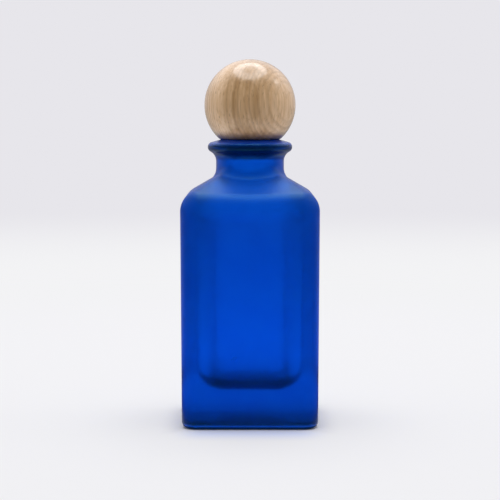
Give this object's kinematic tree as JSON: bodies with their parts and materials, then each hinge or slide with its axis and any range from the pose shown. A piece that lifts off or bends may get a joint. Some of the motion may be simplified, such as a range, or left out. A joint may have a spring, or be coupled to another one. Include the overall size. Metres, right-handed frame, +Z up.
{
  "type": "ball stopper bottle",
  "caption": "Small square bottle of satin blue glass with a rolled lip, closed by a turned wooden ball on a push-in plug with soft seal rings.",
  "frame": {"origin": "centre of the foot, on the surface that the bottle stands on", "axes": "+Z up along the axis of bottle and stopper; X and Y square to the flat sides, -Y towards the viewer of the picture"},
  "size_m": [0.0478, 0.0478, 0.1271],
  "materials": {
    "blue_glass": "satin coat outside, bare inside",
    "ball_wood": "clear lacquer",
    "plug_plastic": "as moulded",
    "seal_rubber": "matt"
  },
  "bodies": {
    "bottle": {"glass_bottle": "blue_glass"},
    "stopper_seals": {"upper_seal_ring": "seal_rubber", "lower_seal_ring": "seal_rubber"},
    "stopper": {"wood_ball": "ball_wood", "stopper_plug": "plug_plastic"}
  },
  "joints": [
    {"name": "stopper_lift", "type": "slide", "parent": "bottle", "child": "stopper_seals", "axis": [0, 0, 1], "range_m": [0, 0.04]},
    {"name": "stopper_turn", "type": "hinge", "parent": "stopper_seals", "child": "stopper", "pos_m": [0, 0, 0.0991], "axis": [0, 0, 1], "continuous": true}
  ]
}
